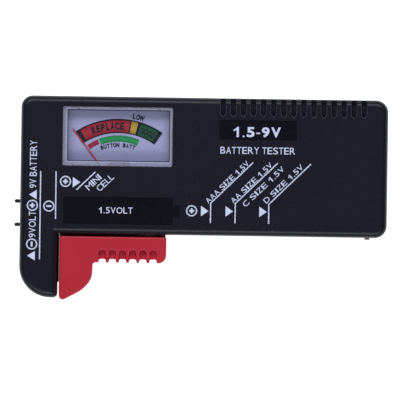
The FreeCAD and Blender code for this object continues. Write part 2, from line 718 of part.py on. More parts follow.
def wires():
    low = WIRE_Z
    upper, lower = PIN_Y
    middle = SPLIT_Z
    rail_x = 102.4
    return {
        "nine_volt_positive": wire("nine_volt_positive", [(PIN_END_X, upper, middle), (9.0, upper, middle),
                                                          (9.4, 11.0, low)]),
        "nine_volt_negative": wire("nine_volt_negative", [(PIN_END_X, lower, middle), (8.6, lower, middle),
                                                          (9.0, 9.4, low), (57.0, 10.9, low)]),
        "jaw_negative": wire("jaw_negative", [(8.3, -5.0, middle), (8.3, -2.4, middle), (7.1, 0.9, low),
                                              (12.0, 7.9, low), (58.0, 8.3, low)]),
        "rail": wire("rail", [(rail_x, WALL + 0.4, middle), (rail_x, 7.0, middle), (98.0, 10.5, low),
                              (80.0, 12.4, low)]),
        "meter_positive": wire("meter_positive", [(TERMINALS[0][0] - 0.8, TERMINALS[0][1], low),
                                                  (47.0, 29.4, low)]),
        "meter_negative": wire("meter_negative", [(TERMINALS[1][0] - 0.8, TERMINALS[1][1], low),
                                                  (47.0, 23.6, low)]),
    }


os.makedirs("parts", exist_ok=True)
for piece in (front_shell, rear_shell, case_screws, slider, positive_contact, wiper_spring, wiper_rivets,
              negative_contact, contact_rail, rail_rivet, meter_base, meter_window, dial_plate, core_magnet,
              yoke_ring, meter_bridge, bridge_screws, upper_jewel_screw, lower_jewel_screw,
              upper_hairspring, lower_hairspring, spring_anchors, meter_terminals, coil_former,
              coil_winding, upper_pivot, lower_pivot, pointer, balance_weights, circuit_board,
              board_screws, load_resistor, divider_resistors, solder_joints):
    save(piece.__name__, piece())
for name, y in zip(("nine_volt_pin_positive", "nine_volt_pin_negative"), PIN_Y):
    save(name, nine_volt_pin(y))
for name, shape in wires().items():
    save("wire_" + name, shape)
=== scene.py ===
import math

import bmesh
import bpy
from mathutils import Matrix, Vector


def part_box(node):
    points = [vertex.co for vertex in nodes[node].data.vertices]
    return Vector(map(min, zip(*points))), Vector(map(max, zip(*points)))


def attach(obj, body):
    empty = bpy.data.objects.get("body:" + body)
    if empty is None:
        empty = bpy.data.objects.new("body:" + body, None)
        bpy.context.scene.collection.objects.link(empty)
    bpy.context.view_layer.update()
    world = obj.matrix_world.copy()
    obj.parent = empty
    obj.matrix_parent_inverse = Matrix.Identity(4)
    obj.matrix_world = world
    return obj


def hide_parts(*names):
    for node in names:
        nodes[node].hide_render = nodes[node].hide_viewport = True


# ---------------------------------------------------------------- the frame
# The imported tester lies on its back, with its dial facing up and its vent grooves towards +Y.
# Sizes below are in millimetres from a line just inside the case's left end and from the
# lower edge of its long bar, as on the drawing of the front face; on_face() makes them metres.

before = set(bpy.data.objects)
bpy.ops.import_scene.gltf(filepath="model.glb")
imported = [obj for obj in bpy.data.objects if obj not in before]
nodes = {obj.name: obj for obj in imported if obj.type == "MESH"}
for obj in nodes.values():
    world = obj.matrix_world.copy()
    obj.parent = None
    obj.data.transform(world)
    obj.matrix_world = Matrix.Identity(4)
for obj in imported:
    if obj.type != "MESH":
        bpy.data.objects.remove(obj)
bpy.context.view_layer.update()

MM = 0.001
BAR_WIDTH = 41.45
LEFT_END = -0.3
case_low, case_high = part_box("front_shell")
FACE_Z = case_high.z


def on_face(x, y, z=0.0):
    """A place on the drawing, as a point in the frame."""
    return Vector((case_low.x + (x - LEFT_END) * MM, case_high.y + (y - BAR_WIDTH) * MM, z))


# ---------------------------------------------------------------- camera
# A long lens straight above the dial, turned a little, so that the case leans clockwise.

CAMERA_HEIGHT = 4.0
VIEW_WIDTH = 0.1204
VIEW_MIDDLE = (53.87, 10.7)
CAMERA_TURN = math.radians(0.85)

camera = bpy.data.objects.new("camera", bpy.data.cameras.new("camera"))
camera.data.lens = camera.data.sensor_width * CAMERA_HEIGHT / VIEW_WIDTH
camera.data.clip_end = 10.0
camera.location = on_face(*VIEW_MIDDLE, FACE_Z + CAMERA_HEIGHT)
camera.rotation_euler = (0, 0, CAMERA_TURN)
bpy.context.collection.objects.link(camera)
bpy.context.scene.camera = camera

# ---------------------------------------------------------------- shader trees
# Each finish is one material. Node sums are written as plain arithmetic on its sockets.


class Value:
    """An output socket whose arithmetic adds Math nodes to its tree."""

    def __init__(self, finish, socket):
        self.finish = finish
        self.socket = socket

    def maths(self, operation, *terms):
        return self.finish.node("ShaderNodeMath", {"operation": operation}, dict(enumerate(terms)))

    def __add__(self, other):
        return self.maths("ADD", self, other)

    def __sub__(self, other):
        return self.maths("SUBTRACT", self, other)

    def __mul__(self, other):
        return self.maths("MULTIPLY", self, other)

    def __gt__(self, other):
        return self.maths("GREATER_THAN", self, other)

    def __abs__(self):
        return self.maths("ABSOLUTE", self)


class Finish:
    """A material, and the one way in which its nodes are made."""

    def __init__(self, name, **fixed):
        self.material = bpy.data.materials.new(name)
        self.material.use_nodes = True
        self.tree = self.material.node_tree
        self.surface = self.tree.nodes["Principled BSDF"]
        self.set(**fixed)

    def node(self, kind, settings=None, inputs=None, output=0):
        made = self.tree.nodes.new(kind)
        for name, value in (settings or {}).items():
            setattr(made, name, value)
        for name, value in (inputs or {}).items():
            self.feed(made.inputs[name], value)
        return Value(self, made.outputs[output])

    def feed(self, socket, value):
        if isinstance(value, Value):
            self.tree.links.new(value.socket, socket)
        else:
            socket.default_value = value

    def set(self, **inputs):
        """Feed the surface; Base_Color stands for Base Color."""
        for name, value in inputs.items():
            self.feed(self.surface.inputs[name.replace("_", " ")], value)

    def place(self):
        return self.node("ShaderNodeTexCoord", output="Object")

    def noise(self, size_mm, detail=2.0):
        """Smooth noise whose lumps are about so many millimetres across, from 0 to 1."""
        inputs = {"Vector": self.place(), "Scale": 1 / (size_mm * MM), "Detail": detail}
        return self.node("ShaderNodeTexNoise", None, inputs)

    def blend(self, factor, first, second):
        """Colour between two colours."""
        return self.node("ShaderNodeMix", {"data_type": "RGBA"}, {0: factor, 6: first, 7: second}, 2)

    def relief(self, height, depth_mm, strength=1.0):
        """Bump of a real depth from a height between 0 and 1."""
        inputs = {"Height": height, "Distance": depth_mm * MM, "Strength": strength}
        self.set(Normal=self.node("ShaderNodeBump", None, inputs))


def rgb(red, green, blue):
    return (red, green, blue, 1.0)


def wear(finish, *names):
    """Give CAD pieces a finish in place of the one they came with."""
    for name in names:
        mesh = nodes[name].data
        mesh.materials.clear()
        mesh.materials.append(finish.material)


# ---------------------------------------------------------------- case
# Two halves moulded in black plastic with a fine spark-eroded grain, screwed together from
# the rear. A little dust has settled on them.

abs_black = Finish("case_black_grain", Specular_IOR_Level=0.3)
grain = abs_black.noise(0.45, 3.0)
mottle = abs_black.noise(14.0, 2.0)
specks = abs_black.noise(1.6, 1.0) > 0.77
body_colour = abs_black.blend(mottle, rgb(0.0022, 0.0022, 0.0065), rgb(0.0045, 0.0044, 0.0105))
body_colour = abs_black.blend(abs_black.noise(0.8, 2.0) * 0.6, body_colour, rgb(0.012, 0.012, 0.02))
abs_black.set(Base_Color=abs_black.blend(specks * 0.25, body_colour, rgb(0.10, 0.10, 0.15)))
abs_black.set(Roughness=grain * 0.16 + 0.28)
abs_black.relief(grain, 0.03, 0.55)
wear(abs_black, "front_shell", "rear_shell")

# ---------------------------------------------------------------- printed panels
# Shallow panels let into the face behind the title and in the shape of a round cell. Their
# floors are polished, so they look blacker than the grain around them.

polished = Finish("panel_black_polish", Specular_IOR_Level=0.4)
polished.set(Base_Color=polished.blend(
    polished.noise(6.0), rgb(0.0012, 0.0012, 0.004), rgb(0.0025, 0.0025, 0.007)))
polished.set(Roughness=polished.noise(2.0) * 0.1 + 0.2)
polished.relief(polished.noise(0.8), 0.01, 0.3)

PANEL_DEPTH = 0.3
PANEL_FILM = 0.04


def prism(bm, outline, low, high):
    """Closed prism over an outline of points in the XY plane."""
    rings = [[bm.verts.new((x, y, z)) for x, y in outline] for z in (low, high)]
    bm.faces.new(reversed(rings[0]))
    bm.faces.new(rings[1])
    for i in range(len(outline)):
        j = (i + 1) % len(outline)
        bm.faces.new((rings[0][i], rings[0][j], rings[1][j], rings[1][i]))


def as_piece(name, mesh, body, move=Matrix.Identity(4)):
    """A made mesh as a piece of the object that rides on a body, with its place in the mesh."""
    mesh.transform(move)
    mesh.name = name
    piece = bpy.data.objects.new(name, mesh)
    bpy.context.collection.objects.link(piece)
    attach(piece, body)
    return piece


def piece_from(bm, name, finish, body):
    """A bmesh as a piece of the object, in one finish."""
    mesh = bpy.data.meshes.new(name)
    bm.to_mesh(mesh)
    bm.free()
    mesh.materials.append(finish.material)
    return as_piece(name, mesh, body)


panel_floor = FACE_Z - PANEL_DEPTH * MM
panels = {
    "title_panel": [(59.5, 29.1), (82.7, 29.1), (82.7, 34.8), (59.5, 34.8)],
    "cell_panel": [(12.8, 3.1), (45.7, 3.1), (45.7, 5.3), (47.7, 5.3), (47.7, 8.9), (45.7, 8.9),
                   (45.7, 11.1), (12.8, 11.1)],
}
for name, corners in panels.items():
    bm = bmesh.new()
    prism(bm, [on_face(x, y).xy for x, y in corners], panel_floor, panel_floor + PANEL_FILM * MM)
    piece_from(bm, name, polished, "case")

# ---------------------------------------------------------------- sliding jaw
# The jaw that the thumb pushes, moulded in red plastic with a satin face.

jaw_red = Finish("jaw_red_satin", Specular_IOR_Level=0.5)
flow = jaw_red.noise(9.0, 3.0)
fine = jaw_red.noise(0.5, 2.0)
jaw_red.set(Base_Color=jaw_red.blend(flow, rgb(0.49, 0.010, 0.022), rgb(0.57, 0.014, 0.030)))
jaw_red.set(Roughness=fine * 0.12 + 0.33)
jaw_red.relief(fine, 0.02, 0.35)
wear(jaw_red, "slider")

# ---------------------------------------------------------------- clear cover
# One clear moulding over the meter. It is nearly invisible from the front. Its rounded rim is painted
# pale and mottled as painted reflection, with a brighter painted highlight line along its inner edge, and
# its walls are painted dark as painted shade.

clear = Finish("cover_clear", Roughness=0.06, Specular_IOR_Level=0.5)
COVER_HOLLOW = ((13.9, 44.3), (22.2, 37.2))
WALL_BAND = 0.3


def outside(finish, across, up, grow):
    """1 where a place on the face lies outside the cover's hollow, grown by some millimetres."""
    low = on_face(COVER_HOLLOW[0][0] - grow, COVER_HOLLOW[1][0] - grow)
    high = on_face(COVER_HOLLOW[0][1] + grow, COVER_HOLLOW[1][1] + grow)
    middle = (low + high) / 2
    half = (high - low) / 2
    beyond_x = abs(across - middle.x) > half.x
    beyond_y = abs(up - middle.y) > half.y
    return beyond_x.maths("MAXIMUM", beyond_x, beyond_y)


spot = clear.place()
across = clear.node("ShaderNodeSeparateXYZ", None, {"Vector": spot}, "X")
up = clear.node("ShaderNodeSeparateXYZ", None, {"Vector": spot}, "Y")
rim = outside(clear, across, up, WALL_BAND)
wall = outside(clear, across, up, 0.0) - rim
facing = clear.node("ShaderNodeLayerWeight", None, {"Blend": 0.3}, "Facing")
painted_highlight_line = rim - outside(clear, across, up, 2 * WALL_BAND)
# Painted reflection: a pale, mottled colour that shows most on the rim and faintly over the rest of the
# cover, with a brighter painted highlight line along the rim's inner edge.
rim_painted_reflection = clear.blend(clear.noise(2.2, 2.0), rgb(0.50, 0.49, 0.62), rgb(0.74, 0.73, 0.86))
rim_painted_reflection = clear.blend(painted_highlight_line, rim_painted_reflection, rgb(0.80, 0.80, 0.92))
# Painted shade: the walls of the cover are painted dark.
clear.set(Base_Color=clear.blend(wall, rim_painted_reflection, rgb(0.03, 0.03, 0.06)))
clear.set(Alpha=facing * 0.6 + rim * 0.34 + painted_highlight_line * 0.05 + wall * 0.5 + 0.01)
wear(clear, "meter_window")

# ---------------------------------------------------------------- dial card
# A pale card with its scale printed on it, pressed on four pegs of the meter's tray.

card = Finish("dial_card", Specular_IOR_Level=0.3)
fibre = card.noise(0.6, 4.0)
tone = card.noise(11.0, 2.0)
card.set(Base_Color=card.blend(tone, rgb(0.41, 0.40, 0.60), rgb(0.49, 0.48, 0.68)))
card.set(Roughness=fibre * 0.1 + 0.55)
card.relief(fibre, 0.01, 0.3)
wear(card, "dial_plate")

pivot_low, pivot_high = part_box("core_magnet")
PIVOT = (pivot_low + pivot_high) / 2
DIAL_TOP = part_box("dial_plate")[1].z


def ink(name, colour, rough=0.5):
    """Screen ink, a little uneven where it lies on the ground below it."""
    finish = Finish(name, Specular_IOR_Level=0.2)
    patchy = finish.noise(0.9, 3.0)
    darker = rgb(*(0.82 * channel for channel in colour))
    finish.set(Base_Color=finish.blend(patchy, darker, rgb(*colour)))
    finish.set(Roughness=patchy * 0.12 + rough)
    return finish


INKS = {
    "black": ink("ink_black", (0.006, 0.006, 0.014)),
    "red": ink("ink_red", (0.50, 0.020, 0.036)),
    "yellow": ink("ink_yellow", (0.64, 0.41, 0.045)),
    "green": ink("ink_green", (0.008, 0.13, 0.04)),
    "bright_green": ink("ink_bright_green", (0.02, 0.36, 0.09)),
    "deep_red": ink("ink_deep_red", (0.42, 0.02, 0.05)),
}


class Recipe:
    """A Geometry Nodes tree with named inputs, which can be run on a mesh to make a piece."""

    def __init__(self, name, **inputs):
        self.tree = bpy.data.node_groups.new(name, "GeometryNodeTree")
        face = self.tree.interface
        face.new_socket("Geometry", in_out="INPUT", socket_type="NodeSocketGeometry")
        self.identifiers = {}
        for label, kind in {**inputs, "Finish": "Material"}.items():
            socket = face.new_socket(label, in_out="INPUT", socket_type="NodeSocket" + kind)
            self.identifiers[label] = socket.identifier
        face.new_socket("Geometry", in_out="OUTPUT", socket_type="NodeSocketGeometry")
        self.start = self.tree.nodes.new("NodeGroupInput")

    def given(self, label):
        return self.start.outputs[label]

    def node(self, kind, settings=None, inputs=None, output=0):
        made = self.tree.nodes.new(kind)
        for name, value in (settings or {}).items():
            setattr(made, name, value)
        for name, value in (inputs or {}).items():
            if isinstance(value, bpy.types.NodeSocket):
                self.tree.links.new(value, made.inputs[name])
            else:
                made.inputs[name].default_value = value
        return made.outputs[output]

    def close(self, geometry):
        """End the tree in plain faces that wear the finish."""
        real = self.node("GeometryNodeRealizeInstances", None, {"Geometry": geometry})
        painted = self.node("GeometryNodeSetMaterial", None,
                            {"Geometry": real, "Material": self.given("Finish")})
        end = self.tree.nodes.new("NodeGroupOutput")
        self.tree.links.new(painted, end.inputs["Geometry"])

    def run(self, name, points, edges, **values):
        """The plain mesh that the tree makes of some points and edges."""
        seed = bpy.data.meshes.new(name)
        seed.from_pydata(points, edges, [])
        carrier = bpy.data.objects.new(name, seed)
        bpy.context.collection.objects.link(carrier)
        modifier = carrier.modifiers.new(name, "NODES")
        modifier.node_group = self.tree
        for label, value in values.items():
            modifier[self.identifiers[label]] = value
        shown = carrier.evaluated_get(bpy.context.evaluated_depsgraph_get())
        mesh = bpy.data.meshes.new_from_object(shown)
        bpy.data.objects.remove(carrier)
        return mesh


scale_band = Recipe("scale_band", Radius="Float", Width="Float", Start="Float", Sweep="Float",
                    Film="Float")
sweep_line = scale_band.node("GeometryNodeCurveArc", None, {
    "Resolution": 64, "Radius": scale_band.given("Radius"), "Start Angle": scale_band.given("Start"),
    "Sweep Angle": scale_band.given("Sweep")})
level_line = scale_band.node("GeometryNodeSetCurveNormal", {"mode": "Z_UP"}, {"Curve": sweep_line})
section = scale_band.node("GeometryNodeCurvePrimitiveQuadrilateral", None, {
    "Width": scale_band.given("Width"), "Height": scale_band.given("Film")})
scale_band.close(scale_band.node("GeometryNodeCurveToMesh", None, {
    "Curve": level_line, "Profile Curve": section, "Fill Caps": True}))

# The main scale is struck from a little below the pivot, and the small one from beside it.
MAIN_CENTRE = Vector((PIVOT.x + 0.2 * MM, PIVOT.y - 2.4 * MM))
SMALL_CENTRE = Vector((PIVOT.x + 0.2 * MM, PIVOT.y))
# Name, ink, centre, inner and outer radius, first and last degree clockwise from straight
# up, and the layer that the ink is printed in.
BANDS = [
    ("band_ground", "black", MAIN_CENTRE, 19.0, 23.3, -34.7, 34.6, 1),
    ("band_replace", "red", MAIN_CENTRE, 19.35, 22.9, -30.4, 8.7, 2),
    ("band_low", "yellow", MAIN_CENTRE, 19.35, 22.9, 9.75, 14.85, 2),
    ("band_good", "green", MAIN_CENTRE, 19.35, 22.9, 17.0, 31.4, 2),
    ("band_button_good", "bright_green", SMALL_CENTRE, 14.0, 15.9, -22.2, 23.3, 1),
    ("band_button_replace", "deep_red", SMALL_CENTRE, 14.45, 15.9, -36.5, -23.4, 1),
]
INK_FILM = 0.02
for name, colour, centre, inner, outer, first, last, layer in BANDS:
    band = scale_band.run(
        name, [], [], Radius=(inner + outer) / 2 * MM, Width=(outer - inner) * MM,
        Start=math.radians(90 - last), Sweep=math.radians(last - first), Film=INK_FILM * MM,
        Finish=INKS[colour].material)
    lift = DIAL_TOP + (layer - 0.5) * INK_FILM * MM
    as_piece(name, band, "case", Matrix.Translation((centre.x, centre.y, lift)))

# ---------------------------------------------------------------- dial words
# Black capitals that follow the scale, in the places of the three states and of the name of
# the smaller scale.

# How wide each capital or figure is set, as a share of its height.
SET_WIDTHS = {
    "A": 0.93, "B": 0.93, "C": 1.0, "D": 1.0, "E": 0.93, "G": 1.09, "I": 0.39, "L": 0.78,
    "M": 1.16, "N": 1.0, "O": 1.09, "P": 0.93, "R": 1.0, "S": 0.93, "T": 0.85, "U": 1.0,
    "V": 0.93, "W": 1.32, "Y": 0.93, "Z": 0.85, ".": 0.39, "-": 0.46, " ": 0.39,
}
FIGURE_WIDTH = 0.78
SIDE_GAP = 0.14
FIGURE_ONE = [(0.52, 0.0), (0.80, 0.0), (0.80, 1.0), (0.60, 1.0), (0.42, 0.84), (0.12, 0.72),
              (0.12, 0.55), (0.52, 0.72)]
DOT = [(0.2, 0.0), (0.8, 0.0), (0.8, 0.14), (0.2, 0.14)]
DASH = [(0.0, 0.33), (1.0, 0.33), (1.0, 0.46), (0.0, 0.46)]
DRAWN = {"1": FIGURE_ONE, ".": DOT, "-": DASH}


def glyph(letter, weight):
    """One letter as a flat mesh that fills the unit square, one unit thick about its middle."""
    if letter in DRAWN:
        bm = bmesh.new()
        prism(bm, DRAWN[letter], -0.5, 0.5)
        mesh = bpy.data.meshes.new(letter)
        bm.to_mesh(mesh)
        bm.free()
        return mesh
    font = bpy.data.curves.new(letter, "FONT")
    font.body = letter
    font.offset = weight
    font.resolution_u = 4
    font.extrude = 0.5
    holder = bpy.data.objects.new(letter, font)
    bpy.context.collection.objects.link(holder)
    mesh = bpy.data.meshes.new_from_object(holder.evaluated_get(bpy.context.evaluated_depsgraph_get()))
    bpy.data.objects.remove(holder)
    low, high = (Vector(pick(v.co[axis] for v in mesh.vertices) for axis in range(3))
                 for pick in (min, max))
    size = high - low
    mesh.transform(Matrix.Translation((-low.x, -low.y, -(low.z + high.z) / 2)))
    mesh.transform(Matrix.Diagonal((1 / size.x, 1 / size.y, 1 / size.z, 1)))
    return mesh


def stamp(bm, words, middle, width, height, film, turn=0.0, weight=0.0):
    """Add words to a print; width, height and film are in millimetres, turn is in degrees."""
    advances = [SET_WIDTHS.get(letter, FIGURE_WIDTH) for letter in words]
    unit = width / (sum(advances) - SIDE_GAP)
    place = Matrix.Translation(middle) @ Matrix.Rotation(math.radians(turn), 4, "Z")
    start = -width / 2
    for letter, advance in zip(words, advances):
        if letter != " ":
            mesh = glyph(letter, weight)
            wide = (advance - SIDE_GAP) * unit
            mesh.transform(Matrix.Diagonal((wide * MM, height * MM, film * MM, 1)))
            mesh.transform(place @ Matrix.Translation((start * MM, -height / 2 * MM, 0)))
            bm.from_mesh(mesh)
            bpy.data.meshes.remove(mesh)
        start += advance * unit


# Word, centre and radius of its line, degrees of its first and last letter, and the size and
# boldness of its letters.
DIAL_WORDS = [
    ("REPLACE", MAIN_CENTRE, 21.1, -20.9, 2.55, 1.35, 2.2, 0.05),
    ("GOOD", MAIN_CENTRE, 21.1, 19.6, 29.3, 1.05, 2.0, 0.05),
    ("LOW", MAIN_CENTRE, 24.5, 10.8, 16.4, 1.1, 1.7, 0.06),
    ("BUTTON BATT", MAIN_CENTRE, 15.4, -18.9, 17.3, 0.9, 1.3, 0.06),
]
bm = bmesh.new()
for words, centre, radius, first, last, width, height, weight in DIAL_WORDS:
    for i, letter in enumerate(words):
        angle = math.radians(first + (last - first) * i / (len(words) - 1))
        reach = Vector((math.sin(angle), math.cos(angle))) * radius * MM
        middle = (centre + reach).to_3d() + Vector((0, 0, DIAL_TOP + 2.5 * INK_FILM * MM))
        letter_width = width * SET_WIDTHS[letter]
        stamp(bm, letter, middle, letter_width, height, INK_FILM, -math.degrees(angle), weight)
piece_from(bm, "dial_words", INKS["black"], "case")

# ---------------------------------------------------------------- needle and coil
# The needle is sheet metal lacquered red, on a coil of enamelled copper wire that turns in
# jewels between two flat springs. Brass drops balance it.

lacquer = Finish("needle_lacquer", Specular_IOR_Level=0.5, Coat_Weight=0.3)
lacquer.set(Base_Color=lacquer.blend(lacquer.noise(1.2), rgb(0.50, 0.02, 0.02), rgb(0.66, 0.04, 0.035)))
lacquer.set(Roughness=lacquer.noise(0.6) * 0.15 + 0.3)
lacquer.relief(lacquer.noise(0.4), 0.005, 0.3)
wear(lacquer, "pointer")


def metal(name, colour, rough, grain_mm=0.5):
    """Bare or plated metal with faint tarnish and tool marks."""
    finish = Finish(name, Metallic=1.0)
    tarnish = finish.noise(grain_mm * 5, 4.0)
    marks = finish.noise(grain_mm, 3.0)
    dull = rgb(*(0.72 * channel for channel in colour))
    finish.set(Base_Color=finish.blend(tarnish, dull, rgb(*colour)))
    finish.set(Roughness=marks * 0.18 + rough)
    finish.relief(marks, 0.006, 0.4)
    return finish


brass = metal("plain_brass", (0.72, 0.52, 0.24), 0.28)
steel = metal("bright_steel", (0.62, 0.62, 0.64), 0.22)
nickel = metal("nickel_plating", (0.46, 0.45, 0.44), 0.24)
aluminium = metal("sheet_aluminium", (0.78, 0.78, 0.80), 0.34)
iron = metal("zinc_plated_iron", (0.50, 0.50, 0.48), 0.36)
magnet = metal("cast_magnet", (0.26, 0.26, 0.28), 0.5, 0.8)
tin = metal("tinned_solder", (0.66, 0.66, 0.68), 0.25, 0.4)
wear(brass, "balance_weights", "upper_hairspring", "lower_hairspring", "spring_anchors",
     "upper_jewel_screw", "lower_jewel_screw", "meter_terminals", "contact_rail", "wiper_spring",
     "wiper_rivets")
wear(steel, "upper_pivot", "lower_pivot", "bridge_screws", "board_screws", "case_screws")
wear(aluminium, "coil_former", "meter_bridge")
wear(iron, "yoke_ring")
wear(magnet, "core_magnet")
wear(tin, "solder_joints")

# The coil's turns are wound side by side and in three layers on the former.

copper = metal("enamelled_copper", (0.66, 0.25, 0.10), 0.2, 0.3)
NEEDLE_REST = math.radians(37.7)
coil_low, coil_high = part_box("coil_winding")
WIRE = 0.16
LOOP_W = 8.4
LOOP_CORNER = 0.5
TURNS = 12
LAYERS = 3

turns_recipe = Recipe("coil_turns", Width="Float", Height="Float", Corner="Float", Wire="Float")
loop_line = turns_recipe.node("GeometryNodeCurvePrimitiveQuadrilateral", None, {
    "Width": turns_recipe.given("Width"), "Height": turns_recipe.given("Height")})
bent_line = turns_recipe.node("GeometryNodeFilletCurve", {"mode": "POLY"}, {
    "Curve": loop_line, "Radius": turns_recipe.given("Corner"), "Count": 4})
wire_section = turns_recipe.node("GeometryNodeCurvePrimitiveCircle", None, {
    "Resolution": 8, "Radius": turns_recipe.given("Wire")})
one_turn = turns_recipe.node("GeometryNodeCurveToMesh", None, {
    "Curve": bent_line, "Profile Curve": wire_section})
all_turns = turns_recipe.node("GeometryNodeInstanceOnPoints", None, {
    "Points": turns_recipe.given("Geometry"), "Instance": one_turn})
turns_recipe.close(all_turns)

layer_meshes = []
for layer in range(LAYERS):
    inset = layer * WIRE
    places = [(0, 0, (i - (TURNS - 1) / 2) * WIRE * MM) for i in range(TURNS)]
    layer_meshes.append(turns_recipe.run(
        "coil_layer", places, [], Width=(LOOP_W - WIRE - 2 * inset) * MM,
        Height=coil_high.z - coil_low.z - (WIRE + 2 * inset) * MM, Corner=(LOOP_CORNER - inset / 2) * MM,
        Wire=WIRE / 2 * MM, Finish=copper.material))
bm = bmesh.new()
for mesh in layer_meshes:
    bm.from_mesh(mesh)
coil_middle = Vector((PIVOT.x, PIVOT.y, (coil_low.z + coil_high.z) / 2))
upright = Matrix.Rotation(NEEDLE_REST, 4, "Z") @ Matrix.Rotation(math.pi / 2, 4, "X")
bmesh.ops.transform(bm, matrix=Matrix.Translation(coil_middle) @ upright, verts=bm.verts)
coil_wire = piece_from(bm, "coil_wire", copper, "movement")
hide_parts("coil_winding")

# ---------------------------------------------------------------- meter tray
# The black tray that carries the movement, moulded without grain.

tray = Finish("tray_black", Specular_IOR_Level=0.45)
tray.set(Base_Color=tray.blend(tray.noise(5.0), rgb(0.016, 0.016, 0.02), rgb(0.024, 0.024, 0.03)))
tray.set(Roughness=tray.noise(1.0) * 0.12 + 0.35)
tray.relief(tray.noise(0.7), 0.01, 0.3)
wear(tray, "meter_base")

# ---------------------------------------------------------------- contacts
# Brass strips on the two jaw faces and two pins for a nine volt block, coloured near black as painted
# shade for the shadow they lie in, and the plated rivet that holds the rail, whose head shows under the
# bar.

# Painted shade: near-black metal for the contacts and pins that lie in shadow.
shade_black_metal = metal("brass_painted_shade_black", (0.03, 0.03, 0.033), 0.3)
wear(nickel, "rail_rivet")
wear(shade_black_metal, "negative_contact", "positive_contact", "nine_volt_pin_positive", "nine_volt_pin_negative")

# ---------------------------------------------------------------- circuit
# A small board with one large load resistor and three divider resistors, wired by hand.

laminate = Finish("board_lacquer", Specular_IOR_Level=0.5)
weave = laminate.noise(0.5, 2.0)
laminate.set(Base_Color=laminate.blend(weave, rgb(0.04, 0.13, 0.05), rgb(0.06, 0.18, 0.07)))
laminate.set(Roughness=weave * 0.15 + 0.3)
laminate.relief(weave, 0.01, 0.3)
wear(laminate, "circuit_board")

ceramic = Finish("resistor_lacquer", Specular_IOR_Level=0.5)
ceramic.set(Base_Color=ceramic.blend(ceramic.noise(1.5), rgb(0.50, 0.38, 0.22), rgb(0.60, 0.47, 0.29)))
ceramic.set(Roughness=ceramic.noise(0.7) * 0.15 + 0.35)
ceramic.relief(ceramic.noise(0.7), 0.01, 0.3)
wear(ceramic, "load_resistor", "divider_resistors")


def insulation(name, colour):
    """Soft vinyl round a hook-up wire."""
    finish = Finish(name, Specular_IOR_Level=0.45)
    scuffs = finish.noise(1.1, 3.0)
    finish.set(Base_Color=finish.blend(scuffs, rgb(*(0.7 * channel for channel in colour)), rgb(*colour)))
    finish.set(Roughness=scuffs * 0.15 + 0.38)
    finish.relief(scuffs, 0.01, 0.3)
    return finish


wear(insulation("wire_black_vinyl", (0.02, 0.02, 0.022)), "wire_jaw_negative", "wire_nine_volt_negative",
     "wire_meter_negative")
wear(insulation("wire_red_vinyl", (0.5, 0.02, 0.02)), "wire_rail", "wire_nine_volt_positive",
     "wire_meter_positive")

# ---------------------------------------------------------------- face print: lines and signs
# Pale screen print on the face: a rule for each cell length, signs for the two poles, and
# arrows towards the contacts.

white_ink = ink("print_pale", (0.78, 0.81, 0.97), 0.45)
PRINT_FILM = 0.03
RULE = 0.38
PRINT_Z = FACE_Z + PRINT_FILM / 2 * MM

stroke = Recipe("printed_stroke", Width="Float", Film="Float")
stroke_line = stroke.node("GeometryNodeMeshToCurve", None, {"Mesh": stroke.given("Geometry")})
flat_line = stroke.node("GeometryNodeSetCurveNormal", {"mode": "Z_UP"}, {"Curve": stroke_line})
stroke_section = stroke.node("GeometryNodeCurvePrimitiveQuadrilateral", None, {
    "Width": stroke.given("Width"), "Height": stroke.given("Film")})
stroke.close(stroke.node("GeometryNodeCurveToMesh", None, {
    "Curve": flat_line, "Profile Curve": stroke_section, "Fill Caps": True}))


def line_work(paths):
    """Points and edges of open paths, and of closed ones, which end where they start."""
    points = []
    edges = []
    for path in paths:
        closed = path[0] == path[-1]
        corners = path[:-1] if closed else path
        first = len(points)
        points += [on_face(x, y, PRINT_Z) for x, y in corners]
        edges += [(first + i, first + i + 1) for i in range(len(corners) - 1)]
        if closed:
            edges.append((first + len(corners) - 1, first))
    return points, edges


def ring(x, y, radius, steps=40):
    """A closed path round a place on the face."""
    turns = [2 * math.pi * (i % steps) / steps for i in range(steps + 1)]
    return [(x + radius * math.cos(turn), y + radius * math.sin(turn)) for turn in turns]


rules = [
    [(57.1, 3.8), (57.1, 9.8), (69.7, 22.2)],
    [(64.5, 3.8), (64.5, 9.8), (77.1, 22.1)],
    [(74.6, 3.8), (74.6, 9.7), (87.1, 22.0)],
    [(5.8, -7.8), (5.8, 18.7)],
    [(10.45, 4.4), (10.45, 18.7)],
    [(16.6, 13.2), (22.3, 18.7)],
]
RING_R = 1.5
RING_LINE = 0.4
plus_signs = [(51.4, 7.4), (3.43, 8.35), (13.3, 15.7)]
minus_signs = [(3.4, -3.3), (8.4, 8.2)]
rings = [ring(x, y, RING_R) for x, y in plus_signs + minus_signs]
rule_mesh = stroke.run("face_rules", *line_work(rules), Width=RULE * MM, Film=PRINT_FILM * MM,
                       Finish=white_ink.material)
as_piece("face_rules", rule_mesh, "case")
ring_mesh = stroke.run("pole_rings", *line_work(rings), Width=RING_LINE * MM, Film=PRINT_FILM * MM,
                       Finish=white_ink.material)
as_piece("pole_rings", ring_mesh, "case")

